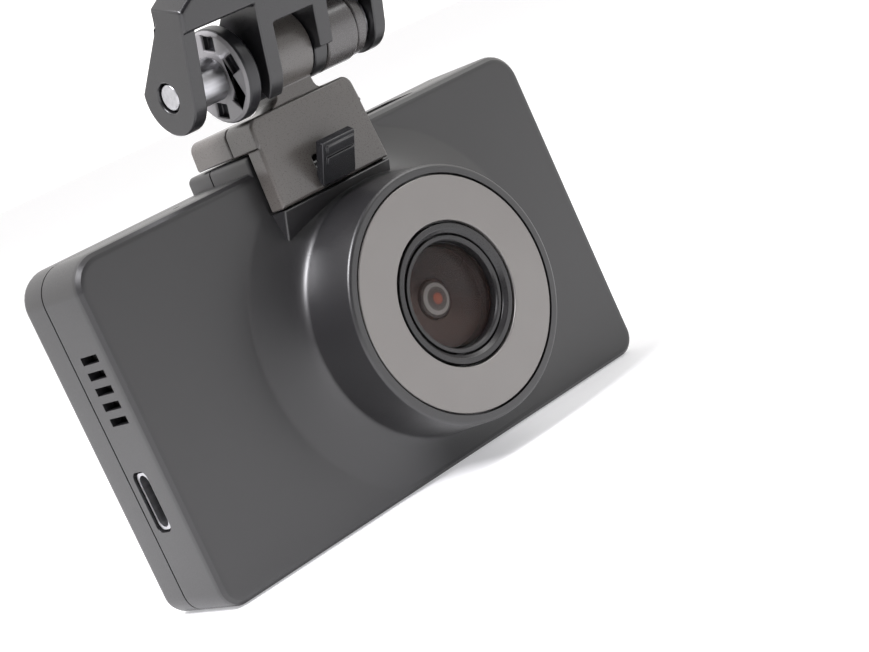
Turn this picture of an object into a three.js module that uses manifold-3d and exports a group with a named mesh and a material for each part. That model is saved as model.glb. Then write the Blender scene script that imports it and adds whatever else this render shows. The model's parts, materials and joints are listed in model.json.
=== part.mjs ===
// Dash camera with a slide-on cradle, a friction hinge and an adhesive windscreen base.
// Millimetres, +Z up. The lens looks along -Y, and +X is to the right of someone facing the lens.
// The origin is the centre of the flat bottom face of the case.

import * as THREE from 'three';
import { mergeVertices } from 'three/addons/utils/BufferGeometryUtils.js';
import Module from 'manifold-3d';

const wasm = await Module();
wasm.setup();

// ---- Clearances ----
const gap = 0.3; // between pieces that touch, press or slide
const reveal = gap / 2; // each side of the seam between two mating shells
const sink = 0.4; // how far a joined feature reaches into its neighbour

// ---- Driving dimensions ----
const shell = {
  width: 92, height: 54.6, depth: 17, wall: 1.8, lowCorner: 3.5, highCorner: 5, edge: 1.5, parting: 2,
};
const barrel = {
  x: 4.7, z: 25.65, length: 13, rimRadius: 19.8, rimEdge: 0.6, baseRadius: 20.5, flare: 8.5,
  bore: 17.4, frontWall: 2.8, recess: 1.3,
};
const trim = { outer: 18.25, inner: 11, thickness: 1 };
const optics = {
  bezelWidth: 1.45, bezelDepth: 2.4, ringWidth: 0.8, ringSetback: 0.7, setback: 1.2, dome: 0.7,
  thickness: 2, tubeLength: 16.8, shoulder: 6.2, rearBore: 5.8, flange: 13, flangeThickness: 1.2,
  innerRadius: 2.9, innerSetback: 3.6, rearLens: 3, filterSide: 7, filterThickness: 0.6, chipSide: 7,
  chipThickness: 0.9, boardSide: 20, boardThickness: 1,
};
const cradle = {
  lowZ: 47.9, topZ: 61.8, proud: 3.75, lowHalf: 11.1, taper: 0.045, seam: 3.3, back: 13.5, corner: 1.6,
  edge: 0.5,
};
const boss = { rise: 2.5, half: 11.3, edge: 0.6, root: 6 };
const pad = { startZ: 40.4 };
const tongue = { half: 6, thickness: 2.2, depth: 7.2, front: 3.9, pocketWall: 1.4 };
const lever = {
  half: 3.35, thickness: 1.45, lean: 33.5, length: 6.53, footProud: 1.15, footZ: 0.8, stem: 2.2, hub: 1.3,
  pin: 0.6, pivotBack: 1.75, pivotZ: 51.5, hookZ: 49.4, hookHeight: 0.7, ridge: 0.35, ridgeWidth: 1.25,
};
const catchPocket = { depth: 0.8, height: 2 };
const spring = { radius: 1.05, wire: 0.18, turns: 3, pitch: 0.5 };
const hinge = {
  y: -1, z: 69.4, radius: 5.8, bolt: 2, knuckleLeft: 3.3, knuckleRight: 4.1, lean: 21, neckFront: 2.2,
  neckBack: 3.4, neckLeft: 7, neckRight: 5.4, headRadius: 3.4, headThickness: 1.2,
};
const wheel = { inner: 7.5, width: 3, radius: 7.3, slots: 6, slotLength: 2.3, slotWidth: 2.7, slotDepth: 1.2 };
const sleeve = {
  rightWidth: 6.3, leftRadius: 5, washer: 1.9, washerRadius: 5.5, thinRadius: 4.6, spacerRadius: 3.4,
};
const arm = {
  cheekLeft: 2.7, cheekRight: 2.6, plate: 1.3, earWidth: 2.4, halfWidth: 19.5, windowTop: 6.9, beamFrom: 10.2,
  leftWrap: 36, rightStop: 0.4, beamTo: 13.5, taperTo: 21, topHalf: 9, reach: 27, depth: 7.4, edge: 0.8,
  coverThickness: 1, wall: 2,
};
const base = { hub: 6, hubLength: 2.9, radius: 21, thickness: 4.2, edge: 1.4, padMargin: 1.2, padThickness: 1.2,
  washer: 5, washerThickness: 0.8, screw: 1.4, screwHead: 1.9, screwHeadDepth: 1.4 };
const display = { x: 3, z: 27, width: 68, height: 41, corner: 2, glass: 1.2, ledge: 1.1, lip: 2, panel: 2.4 };
const key = { x: -38.6, width: 6.4, height: 4.6, proud: 0.5, corner: 1.4, flange: 0.6, skirt: 0.6, pitch: 8.6,
  firstZ: 12, boardThickness: 0.8, boardBehind: 2.3, dome: 0.6, boardHalf: 4 };
const led = { z: 43.6, radius: 0.9 };
const power = { x: 20, y: -2.2, width: 9, depth: 3.6, dish: 0.7, margin: 2, stem: 1.2, flange: 0.9, drop: 5.6,
  switchHeight: 3.5, switchWidth: 6, corner: 1.4 };
const board = { front: 0.6, thickness: 1, half: 36.5, lowZ: 5.5, highZ: 46.5, corner: 2 };
const chip = { x: 23, z: 34.5, side: 10, thickness: 1, spreader: 14 };
const battery = { x: -22.5, z: 19, width: 21, height: 22, thickness: 5 };
const inlet = { z: 18.5, y: -1.5, width: 9, thickness: 3.2, depth: 7.4, metal: 0.4, tongue: 0.7 };
const card = { z: 17, y: -0.9, width: 11, length: 15, thickness: 1, metal: 0.4, out: 0.5 };
const speaker = { z: 36, y: -3.2, height: 13, depth: 5.6, thickness: 3.4, slots: 5, pitch: 2.4, slot: 1.2 };
const microphone = { x: -22, y: -3, radius: 2.2, height: 1.6, hole: 0.6 };
const screw = { x: 42.1, inset: 4.7, head: 1.5, headDepth: 1, shank: 0.9, length: 7.5, boss: 2.5 };
const boardScrews = [[-30, 42], [33.2, 30]];
const cradleScrew = { x: 8, z: 59.6, length: 12 };

// ---- Places worked out from the sizes above ----
const faceY = -shell.depth / 2;
const rearY = shell.depth / 2;
const ringY = faceY - barrel.length;
const frontWallY = ringY + barrel.frontWall;
const ledgeY = rearY - display.glass - gap;
const innerRearY = ledgeY - display.ledge;
const bezelOuter = trim.inner - gap;
const bezelInner = bezelOuter - optics.bezelWidth;
const retainerInner = bezelInner - gap - optics.ringWidth;
const tubeOuter = bezelOuter - gap;
const glassY = ringY + optics.setback;
const tubeRearY = glassY + optics.tubeLength;
const bossTop = shell.height + boss.rise;
const seatZ = bossTop + gap;
const plateY = faceY - cradle.proud;
const seamY = faceY + cradle.seam;
const cradleBackY = faceY + cradle.back;
const pivotY = faceY - lever.pivotBack;
const hingeY = faceY + hinge.y;
const armFront = -hinge.radius - gap - arm.plate;
const cheekLeftIn = hinge.knuckleLeft + gap;
const cheekRightIn = hinge.knuckleRight + gap;
const dishZ = shell.height - power.dish;
const wallTopZ = shell.height - shell.wall;
const sideInner = shell.width / 2 - shell.wall;
const screwPlaces = [-screw.x, screw.x].flatMap((x) =>
  [screw.inset, shell.height - screw.inset].map((z) => [x, z]));
const screwTipY = rearY - gap - screw.headDepth - screw.length;

// ---- Solids from three.js geometry ----
function toSolid(geometry) {
  const bare = geometry.index ? geometry.toNonIndexed() : geometry.clone();
  bare.deleteAttribute('normal');
  bare.deleteAttribute('uv');
  const merged = mergeVertices(bare, 1e-4);
  const vertProperties = merged.attributes.position.array;
  const triVerts = new Uint32Array(merged.index.array);
  return new wasm.Manifold(new wasm.Mesh({ numProp: 3, vertProperties, triVerts }));
}

function toGeometry(solid) {
  const mesh = solid.getMesh();
  const geometry = new THREE.BufferGeometry();
  geometry.setAttribute('position', new THREE.BufferAttribute(mesh.vertProperties, 3));
  geometry.setIndex(new THREE.BufferAttribute(mesh.triVerts, 1));
  geometry.computeVertexNormals();
  return geometry;
}

const join = (first, ...others) => others.reduce((whole, other) => whole.add(other), first);
const cut = (first, ...others) => others.reduce((whole, other) => whole.subtract(other), first);

function box([x0, x1], [y0, y1], [z0, z1]) {
  const geometry = new THREE.BoxGeometry(x1 - x0, y1 - y0, z1 - z0);
  return toSolid(geometry.translate((x0 + x1) / 2, (y0 + y1) / 2, (z0 + z1) / 2));
}

// Turned geometry about the Y axis, from corners of [radius, place along the axis].
function lathe(corners, sides) {
  const profile = corners.map(([radius, along]) => new THREE.Vector2(radius, along));
  if (profile[0].x > 0) profile.push(profile[0].clone());
  if (THREE.ShapeUtils.area(profile) < 0) profile.reverse();
  return new THREE.LatheGeometry(profile, sides);
}

// A solid turned about a line along Y through (x, z).
function turned(corners, [x, z], sides = 40) {
  return toSolid(lathe(corners, sides).translate(x, 0, z));
}

// A round bar, or a washer where it has a bore, along X, Y or Z through the place [a, b] of the other two axes.
function round(axis, radius, start, end, [a, b], sides = 24, bore = 0) {
  const geometry = lathe([[bore, start], [radius, start], [radius, end], [bore, end]], sides);
  if (axis === 'x') geometry.rotateZ(-Math.PI / 2).translate(0, a, b);
  if (axis === 'y') geometry.translate(a, 0, b);
  if (axis === 'z') geometry.rotateX(Math.PI / 2).translate(a, b, 0);
  return toSolid(geometry);
}

function roundedRect([x0, x1], [z0, z1], low, high = low) {
  const shape = new THREE.Shape();
  shape.moveTo(x0 + low, z0);
  shape.absarc(x1 - low, z0 + low, low, -Math.PI / 2, 0, false);
  shape.absarc(x1 - high, z1 - high, high, 0, Math.PI / 2, false);
  shape.absarc(x0 + high, z1 - high, high, Math.PI / 2, Math.PI, false);
  shape.absarc(x0 + low, z0 + low, low, Math.PI, Math.PI * 1.5, false);
  return shape;
}

const around = (centre, width) => [centre - width / 2, centre + width / 2];
const polygon = (points) => new THREE.Shape(points.map(([a, b]) => new THREE.Vector2(a, b)));

function extruded(shape, depth, edge, curve, edgeSteps = 2) {
  return new THREE.ExtrudeGeometry(shape, {
    depth: depth - 2 * edge,
    bevelEnabled: edge > 0,
    bevelThickness: edge,
    bevelSize: edge,
    bevelOffset: -edge,
    bevelSegments: edgeSteps,
    curveSegments: curve,
  });
}

// A shape drawn in X and Z, solid from front to back along Y.
function slab(shape, [front, back], edge = 0, curve = 5, edgeSteps = 2) {
  const geometry = extruded(shape, back - front, edge, curve, edgeSteps);
  return toSolid(geometry.rotateX(Math.PI / 2).translate(0, back - edge, 0));
}

// A shape drawn in Y and Z, solid from left to right along X.
function bar(shape, [left, right], edge = 0, curve = 8) {
  const geometry = extruded(shape, right - left, edge, curve);
  return toSolid(geometry.rotateY(Math.PI / 2).rotateX(Math.PI / 2).translate(left + edge, 0, 0));
}

// A shape drawn in X and Y, solid from low to high along Z.
function tile(shape, [low, high], edge = 0, curve = 5) {
  return toSolid(extruded(shape, high - low, edge, curve).translate(0, 0, low + edge));
}

// ---- Finishes and the scene graph ----
const finish = (color, roughness, metalness = 0) =>
  new THREE.MeshStandardMaterial({ color, roughness, metalness });
const finishes = {
  casing: finish(0x3a3a3c, 0.55),
  ring: finish(0x9b9792, 0.45, 0.3),
  lensBlack: finish(0x18181a, 0.4),
  glass: finish(0x241c1a, 0.05),
  screen: finish(0x0c0c0e, 0.08),
  cradle: finish(0x5a5754, 0.45),
  hinge: finish(0x6c6866, 0.4, 0.2),
  arm: finish(0x4a494b, 0.5),
  key: finish(0x2c2c2e, 0.5),
  steel: finish(0xa8a8ac, 0.35, 0.9),
  board: finish(0x1d4a30, 0.6),
  chip: finish(0x202022, 0.5),
  foam: finish(0x2a2a2a, 0.95),
};

const camera = new THREE.Group();
const swingArm = new THREE.Group();
swingArm.position.set(0, hingeY, hinge.z);
swingArm.rotation.x = THREE.MathUtils.degToRad(hinge.lean);
camera.add(swingArm);

function place(group, name, solid, look) {
  const mesh = new THREE.Mesh(toGeometry(solid), finishes[look]);
  mesh.name = name;
  group.add(mesh);
}

// ---- Case: front shell with barrel, pad and boss, and rear shell ----
function caseOutline(inset) {
  const corner = (radius) => Math.max(radius - inset, 0.8);
  return roundedRect(around(0, shell.width - 2 * inset), [inset, shell.height - inset],
    corner(shell.lowCorner), corner(shell.highCorner));
}

// The tapered outline that the cradle and the boss share, from lowZ to highZ.
function taperedOutline(lowHalf, lowZ, highZ, corner) {
  const topHalf = lowHalf - cradle.taper * (highZ - lowZ);
  const shape = new THREE.Shape();
  shape.moveTo(-lowHalf, lowZ);
  shape.lineTo(lowHalf, lowZ);
  shape.absarc(topHalf - corner, highZ - corner, corner, 0, Math.PI / 2, false);
  shape.absarc(corner - topHalf, highZ - corner, corner, Math.PI / 2, Math.PI, false);
  return shape;
}

const cradleHalf = (z) => cradle.lowHalf - cradle.taper * (z - cradle.lowZ);

function bossSolid() {
  const lowZ = shell.height - boss.root;
  return slab(taperedOutline(boss.half, lowZ, bossTop, boss.edge + 0.4), [faceY, rearY], boss.edge, 3);
}

// The lens barrel and the concave flare that carries it out of the front face.
function barrelSolid() {
  const centre = barrel.baseRadius + barrel.flare;
  const step = 0.12; // the flare stops this high, in a clean edge
  const first = Math.acos((barrel.flare - step) / barrel.flare);
  const steps = 6;
  const flare = Array.from({ length: steps + 1 }, (_, i) => {
    const angle = first + ((Math.PI / 2 - first) * i) / steps;
    return [centre - barrel.flare * Math.sin(angle), faceY - barrel.flare * (1 - Math.cos(angle))];
  });
  const corners = [
    [0, faceY + sink],
    [flare[0][0], faceY + sink],
    ...flare,
    [barrel.rimRadius, ringY + barrel.rimEdge],
    [barrel.rimRadius - barrel.rimEdge, ringY],
    [0, ringY],
  ];
  const within = slab(caseOutline(shell.edge), [ringY - 1, faceY + 1]);
  const forCradle = slab(
    taperedOutline(cradle.lowHalf + gap, cradle.lowZ - gap, cradle.topZ, 1), [ringY - 1, faceY]);
  return cut(turned(corners, [barrel.x, barrel.z], 56).intersect(within), forCradle);
}

// The wedge under the cradle, flush with it at the top and fading into the face below.
function padSolid() {
  const topZ = cradle.lowZ - gap;
  const profile = polygon([
    [faceY + sink, pad.startZ], [faceY, pad.startZ], [plateY, topZ], [faceY + sink, topZ],
  ]);
  return bar(profile, around(0, 2 * cradle.lowHalf));
}

// The box around the cradle's tongue, wider by margin on every side.
function tongueBox(margin, topZ) {
  return box(around(0, 2 * (tongue.half + margin)),
    [faceY + tongue.front - margin, faceY + tongue.front + tongue.thickness + margin],
    [bossTop - tongue.depth - margin, topZ]);
}

const openInlet = (margin, left, right) => bar(
  roundedRect(around(inlet.y, inlet.thickness + 2 * margin), around(inlet.z, inlet.width + 2 * margin), 1.2),
  [left, right], 0, 4);

const cardBox = (margin, left, right) =>
  box([left, right], around(card.y, card.thickness + 2 * margin), around(card.z, card.width + 2 * margin));

function speakerSlots() {
  return Array.from({ length: speaker.slots }, (_, i) => {
    const z = speaker.z + (i - (speaker.slots - 1) / 2) * speaker.pitch;
    return box([-shell.width / 2 - 1, -sideInner + 0.5], around(speaker.y, speaker.depth - 1),
      around(z, speaker.slot));
  });
}

function buttonOutline(margin) {
  return roundedRect(around(power.x, power.width + 2 * margin), around(power.y, power.depth + 2 * margin),
    power.corner);
}

function frontShell() {
  const front = [faceY, shell.parting + 4];
  const whole = join(slab(caseOutline(0), front, shell.edge, 5, 3), barrelSolid(), padSolid(), bossSolid());
  const lensAxis = [barrel.x, barrel.z];
  const hollow = cut(whole,
    box([-shell.width, shell.width], [shell.parting - reveal, rearY + 5], [-5, bossTop + 5]),
    slab(caseOutline(shell.wall), [faceY + shell.wall, shell.parting + 1]),
    round('y', barrel.bore, frontWallY, faceY + shell.wall + 1, lensAxis, 40),
    round('y', trim.inner, ringY - 1, frontWallY + 1, lensAxis, 40),
    round('y', trim.outer + reveal, ringY - 1, ringY + barrel.recess, lensAxis, 56));
  const posts = screwPlaces.map((place) =>
    round('y', screw.boss, faceY + shell.wall - sink, shell.parting - reveal, place, 16));
  const boardPosts = boardScrews.map((place) =>
    round('y', screw.boss, faceY + shell.wall - sink, board.front - gap, place, 16));
  const pocketWall = tongueBox(gap + tongue.pocketWall, bossTop - boss.edge);
  const pilot = (place, from, to) => round('y', screw.shank + gap, from, to, place, 12);
  return cut(join(hollow, ...posts, ...boardPosts, pocketWall),
    ...screwPlaces.map((place) => pilot(place, screwTipY - gap, shell.parting + 1)),
    ...boardScrews.map((place) => pilot(place, board.front - 4, board.front)),
    tongueBox(gap, bossTop + 1),
    box(around(0, 2 * (lever.stem + gap)), [faceY - 1, faceY + catchPocket.depth],
      around(lever.hookZ, catchPocket.height)),
    tile(buttonOutline(power.margin), [dishZ, shell.height + 1]),
    tile(buttonOutline(gap), [wallTopZ - 1, shell.height]),
    openInlet(gap, -shell.width / 2 - 1, -sideInner + 1),
    cardBox(gap, sideInner - 1, shell.width / 2 + 1),
    ...speakerSlots(),
    round('z', microphone.hole, wallTopZ - 1, shell.height + 1, [microphone.x, microphone.y], 10));
}

function displayOutline(inset) {
  return roundedRect(around(display.x, display.width - 2 * inset),
    around(display.z, display.height - 2 * inset), display.corner);
}

const keyNames = ['menu_key', 'up_key', 'down_key', 'confirm_key'];
const keyZ = (i) => key.firstZ + (keyNames.length - 1 - i) * key.pitch;
const keyOutline = (z, margin) =>
  roundedRect(around(key.x, key.width + 2 * margin), around(z, key.height + 2 * margin), key.corner);

function rearShell() {
  const whole = join(slab(caseOutline(0), [shell.parting - 4, rearY], shell.edge, 5, 3), bossSolid());
  const hollow = cut(whole,
    box([-shell.width, shell.width], [faceY - 5, shell.parting + reveal], [-5, bossTop + 5]),
    slab(caseOutline(shell.wall), [shell.parting - 1, innerRearY]));
  const columns = screwPlaces.map((place) =>
    round('y', screw.boss, shell.parting + reveal, innerRearY + sink, place, 16));
  return cut(join(hollow, ...columns),
    slab(displayOutline(-gap), [ledgeY, rearY + 1]),
    slab(displayOutline(display.lip), [innerRearY - 1, rearY]),
    ...keyNames.map((_, i) => slab(keyOutline(keyZ(i), gap), [innerRearY - 1, rearY + 1], 0, 4)),
    round('y', led.radius + gap, innerRearY - 1, rearY + 1, [key.x, led.z], 14),
    ...screwPlaces.map((place) => round('y', screw.shank + gap, shell.parting - 1, rearY, place, 12)),
    ...screwPlaces.map((place) =>
      round('y', screw.head + gap, rearY - screw.headDepth - 2 * gap, rearY + 1, place, 16)));
}

place(camera, 'front_shell', frontShell(), 'casing');
place(camera, 'rear_shell', rearShell(), 'casing');

// A pan-head screw along Y with its head at the rear end, with a cross slot.
function screwSolid([x, z], headRearY, length) {
  const neckY = headRearY - screw.headDepth;
  const body = turned([
    [0, neckY - length], [screw.shank * 0.5, neckY - length], [screw.shank, neckY - length + 1],
    [screw.shank, neckY], [screw.head, neckY], [screw.head, headRearY - 0.4], [screw.head - 0.5, headRearY],
    [0, headRearY],
  ], [x, z], 14);
  const slot = [headRearY - 0.5, headRearY + 1];
  return cut(body, box(around(x, 1.6), slot, around(z, 0.45)), box(around(x, 0.45), slot, around(z, 1.6)));
}

screwPlaces.forEach((at, i) => {
  place(camera, `case_screw_${i + 1}`, screwSolid(at, rearY - gap, screw.length), 'steel');
});

// ---- Lens group, front to back ----
const lensAt = [barrel.x, barrel.z];
const lensRadius = retainerInner - gap;

function domedLens(radius, topY, dome, backY, sides = 36) {
  const sphere = (radius * radius + dome * dome) / (2 * dome);
  const steps = 4;
  const arc = Array.from({ length: steps + 1 }, (_, i) => {
    const r = (radius * i) / steps;
    return [r, topY + sphere - Math.sqrt(sphere * sphere - r * r)];
  });
  return turned([...arc, [radius, backY], [0, backY]], lensAt, sides);
}

function lensTube() {
  const frontY = ringY + optics.bezelDepth + gap;
  const shoulderY = glassY + optics.shoulder;
  const narrow = optics.rearBore + 2.2;
  return turned([
    [retainerInner, frontY], [tubeOuter, frontY], [tubeOuter, frontWallY + gap],
    [optics.flange, frontWallY + gap], [optics.flange, frontWallY + gap + optics.flangeThickness],
    [tubeOuter, frontWallY + gap + optics.flangeThickness], [tubeOuter, shoulderY + 1.4],
    [narrow, shoulderY + 1.4], [narrow, tubeRearY], [optics.rearBore, tubeRearY],
    [optics.rearBore, shoulderY], [retainerInner, shoulderY],
  ], lensAt, 40);
}

function lightBaffle() {
  const frontY = glassY + optics.dome + optics.thickness + gap;
  const throat = optics.innerRadius + gap;
  const throatY = frontY + 1.5;
  return turned([
    [lensRadius, frontY], [lensRadius, frontY + 1.4], [throat + 0.9, throatY + 1.2], [throat, throatY + 1.2],
    [throat, throatY], [lensRadius - 0.6, frontY],
  ], lensAt, 36);
}

const recessY = ringY + barrel.recess;
place(camera, 'trim_ring',
  round('y', trim.outer - reveal, recessY - gap - trim.thickness, recessY - gap, lensAt, 56, trim.inner + reveal),
  'ring');
place(camera, 'lens_bezel', turned([
  [bezelOuter, ringY + 0.1], [bezelOuter, ringY + optics.bezelDepth], [bezelInner, ringY + optics.bezelDepth],
  [bezelInner, ringY + 0.7], [bezelOuter - 0.9, ringY + 0.1],
], lensAt, 48), 'lensBlack');
place(camera, 'retaining_ring', turned([
  [retainerInner, ringY + optics.ringSetback + 0.3], [retainerInner + 0.25, ringY + optics.ringSetback],
  [bezelInner - gap, ringY + optics.ringSetback], [bezelInner - gap, ringY + optics.bezelDepth],
  [retainerInner, ringY + optics.bezelDepth],
], lensAt, 48), 'lensBlack');
place(camera, 'front_lens',
  domedLens(lensRadius, glassY, optics.dome, glassY + optics.dome + optics.thickness), 'glass');
place(camera, 'lens_tube', lensTube(), 'lensBlack');
place(camera, 'light_baffle', lightBaffle(), 'lensBlack');
const innerLensY = glassY + optics.innerSetback;
place(camera, 'inner_lens', domedLens(optics.innerRadius, innerLensY, 0.6, innerLensY + 2.2, 24), 'glass');
const rearLensY = glassY + optics.shoulder + 1;
place(camera, 'rear_lens',
  domedLens(optics.rearBore - gap, rearLensY, 0.8, rearLensY + optics.rearLens, 24), 'glass');
const squareAt = (side) => roundedRect(around(barrel.x, side), around(barrel.z, side), 0.3);
const chipFrontY = tubeRearY - optics.chipThickness;
const filterBackY = chipFrontY - 0.7;
place(camera, 'infrared_filter',
  slab(squareAt(optics.filterSide), [filterBackY - optics.filterThickness, filterBackY], 0, 1), 'glass');
place(camera, 'image_sensor', slab(squareAt(optics.chipSide), [chipFrontY, tubeRearY], 0, 1), 'chip');
const sensorBoardY = tubeRearY + gap;
place(camera, 'sensor_board',
  slab(squareAt(optics.boardSide), [sensorBoardY, sensorBoardY + optics.boardThickness], 0, 1), 'board');

// ---- Electronics ----
function mainBoard() {
  const outline = roundedRect(around(0, 2 * board.half), [board.lowZ, board.highZ], board.corner);
  const solid = slab(outline, [board.front, board.front + board.thickness], 0, 3);
  return cut(solid, ...boardScrews.map((place) =>
    round('y', screw.shank + gap, board.front - 1, board.front + 3, place, 12)));
}

place(camera, 'main_board', mainBoard(), 'board');
boardScrews.forEach((at, i) => {
  place(camera, `board_screw_${i + 1}`,
    screwSolid(at, board.front + board.thickness + gap + screw.headDepth, 4), 'steel');
});
const chipBackY = board.front - gap;
place(camera, 'processor',
  box(around(chip.x, chip.side), [chipBackY - chip.thickness, chipBackY], around(chip.z, chip.side)), 'chip');
const spreaderY = chipBackY - chip.thickness - gap;
place(camera, 'heat_spreader',
  box(around(chip.x, chip.spreader), [spreaderY - 1, spreaderY], around(chip.z, chip.spreader)), 'steel');
const batteryY = faceY + shell.wall + gap;
place(camera, 'buffer_battery', slab(
  roundedRect(around(battery.x, battery.width), around(battery.z, battery.height), 1.5),
  [batteryY, batteryY + battery.thickness], 0.5, 3), 'steel');
const speakerX = -sideInner + gap;
place(camera, 'speaker', join(
  box([speakerX, speakerX + speaker.thickness], around(speaker.y, speaker.depth), around(speaker.z, speaker.height)),
  round('x', 2, speakerX + speaker.thickness - sink, speakerX + speaker.thickness + 1, [speaker.y, speaker.z], 16)),
'chip');
place(camera, 'microphone', round('z', microphone.radius, wallTopZ - gap - microphone.height, wallTopZ - gap,
  [microphone.x, microphone.y], 16), 'steel');

// Power inlet socket: a pressed metal shell, open to the left, around a contact tongue.
const inletLeft = -shell.width / 2 + 0.4;
const inletRight = inletLeft + inlet.depth;
place(camera, 'inlet_socket', cut(
  openInlet(0, inletLeft, inletRight), openInlet(-inlet.metal, inletLeft - 1, inletRight - inlet.metal)), 'steel');
place(camera, 'inlet_tongue', box([inletLeft + 1, inletRight - inlet.metal - gap],
  around(inlet.y, inlet.tongue), around(inlet.z, inlet.width - 2.4)), 'chip');

// Memory card socket: a flat metal cage, open to the right, and the card standing a little out of the case.
const cardRight = shell.width / 2 + card.out;
const cardLeft = cardRight - card.length;
place(camera, 'card_socket', cut(
  cardBox(gap + card.metal, cardLeft - gap - 2.5, sideInner - gap),
  cardBox(gap, cardLeft - gap, sideInner + 1)), 'steel');
place(camera, 'memory_card', cardBox(0, cardLeft, cardRight), 'chip');

// ---- Display, keys and power button ----
place(camera, 'display_window', slab(displayOutline(0), [rearY - display.glass, rearY]), 'screen');
place(camera, 'display_panel',
  slab(displayOutline(0.5), [innerRearY - gap - display.panel, innerRearY - gap], 0, 3), 'screen');

const flangeY = innerRearY - gap - key.flange;
keyNames.forEach((name, i) => {
  place(camera, name, join(
    slab(keyOutline(keyZ(i), 0), [flangeY + 0.1, rearY + key.proud], 0, 4),
    slab(keyOutline(keyZ(i), key.skirt + gap), [flangeY, flangeY + key.flange], 0, 2)), 'key');
});

function keyBoard() {
  const backY = innerRearY - key.boardBehind;
  const top = led.z + led.radius + 1;
  const solid = slab(roundedRect(around(key.x, 2 * key.boardHalf), [key.firstZ - 3.8, top], 0.8),
    [backY - key.boardThickness, backY], 0, 2);
  return join(solid, ...keyNames.map((_, i) =>
    round('y', 1.6, backY - sink, backY + key.dome, [key.x, keyZ(i)], 12)));
}

place(camera, 'key_board', keyBoard(), 'board');
place(camera, 'status_light',
  round('y', led.radius, innerRearY - key.boardBehind + gap, rearY, [key.x, led.z], 14), 'glass');

const flangeTopZ = wallTopZ - gap;
const stemZ = flangeTopZ - power.drop;
place(camera, 'power_button', join(
  tile(buttonOutline(0), [flangeTopZ - 0.1, dishZ + 0.45], 0, 4),
  tile(buttonOutline(1), [flangeTopZ - power.flange, flangeTopZ], 0, 4),
  box(around(power.x, 2 * power.stem), around(power.y, 2 * power.stem), [stemZ, flangeTopZ - power.flange + 0.2])), 'key');
const switchTopZ = stemZ - 0.6;
place(camera, 'power_switch', box(around(power.x, power.switchWidth), [power.y - power.depth / 2, board.front - gap],
  [switchTopZ - power.switchHeight, switchTopZ]), 'chip');

// ---- Cradle that slides down over the boss ----
function plateUpTo(front, back, lowZ, edge) {
  return slab(taperedOutline(cradleHalf(lowZ), lowZ, cradle.topZ, cradle.corner), [front, back], edge, 4);
}

const slotTopZ = lever.pivotZ + lever.hub + gap;
const pivot = [pivotY, lever.pivotZ];
const springOuter = spring.radius + spring.wire;
const springRoom = lever.stem + 4 * gap + 2 * spring.wire + spring.turns * spring.pitch;
const pinEnd = springRoom + 1;

function knuckle() {
  const flareTop = hinge.z - hinge.radius;
  const [left, right] = [hinge.knuckleLeft, hinge.knuckleRight];
  const foot = cradle.topZ - sink;
  const neck = new THREE.Shape();
  neck.moveTo(-hinge.neckLeft, foot);
  neck.lineTo(hinge.neckRight, foot);
  neck.lineTo(hinge.neckRight, cradle.topZ);
  neck.quadraticCurveTo(right, cradle.topZ, right, flareTop);
  neck.lineTo(right, hinge.z);
  neck.lineTo(-left, hinge.z);
  neck.lineTo(-left, flareTop);
  neck.quadraticCurveTo(-left, cradle.topZ, -hinge.neckLeft, cradle.topZ);
  return join(slab(neck, [hingeY - hinge.neckFront, hingeY + hinge.neckBack], 0, 4),
    round('x', hinge.radius, -left, right, [hingeY, hinge.z], 36));
}

function cradleFront() {
  const plate = plateUpTo(plateY, faceY - gap, cradle.lowZ, cradle.edge);
  const roof = plateUpTo(plateY, seamY - reveal + 2, seatZ, cradle.edge);
  const behindSeam = box(around(0, 40), [seamY - reveal, seamY + 5], [40, 66]);
  const springHalf = springOuter + gap;
  return cut(join(plate, cut(roof, behindSeam), knuckle()),
    box(around(0, 2 * (lever.stem + gap)), [plateY - 1, faceY], [cradle.lowZ - 1, slotTopZ]),
    box([lever.stem, springRoom], [pivotY - springHalf, faceY], around(lever.pivotZ, 2 * springHalf)),
    round('x', lever.pin + gap, -pinEnd - gap, cradle.lowHalf, pivot, 14),
    round('x', hinge.bolt + gap, -20, 20, [hingeY, hinge.z], 20),
    ...[-1, 1].map((side) =>
      round('y', screw.shank + gap, cradleTipY - gap, seamY + 1, [side * cradleScrew.x, cradleScrew.z], 12)));
}

const cradleNeckY = cradleBackY - gap - screw.headDepth;
const cradleTipY = cradleNeckY - cradleScrew.length;

function cradleBack() {
  const roof = plateUpTo(seamY + reveal - 2, cradleBackY, seatZ, cradle.edge);
  const ahead = box(around(0, 40), [seamY - 5, seamY + reveal], [40, 66]);
  const hollow = box(around(0, 2 * (cradleScrew.x - screw.head - 1)),
    [faceY + tongue.front + tongue.thickness + 1, cradleBackY - 1.4], [seatZ - 1, cradle.topZ - 1.4]);
  return cut(join(cut(roof, ahead, hollow), tongueBox(0, seatZ + 1)),
    ...[-1, 1].flatMap((side) => [
      round('y', screw.shank + gap, seamY - 1, cradleBackY, [side * cradleScrew.x, cradleScrew.z], 12),
      round('y', screw.head + gap, cradleNeckY - gap, cradleBackY + 1, [side * cradleScrew.x, cradleScrew.z], 14),
    ]));
}

place(camera, 'cradle_front', cradleFront(), 'cradle');
place(camera, 'cradle_back', cradleBack(), 'cradle');
[-1, 1].forEach((side, i) => {
  place(camera, `cradle_screw_${i + 1}`,
    screwSolid([side * cradleScrew.x, cradleScrew.z], cradleBackY - gap, cradleScrew.length), 'steel');
});

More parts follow.
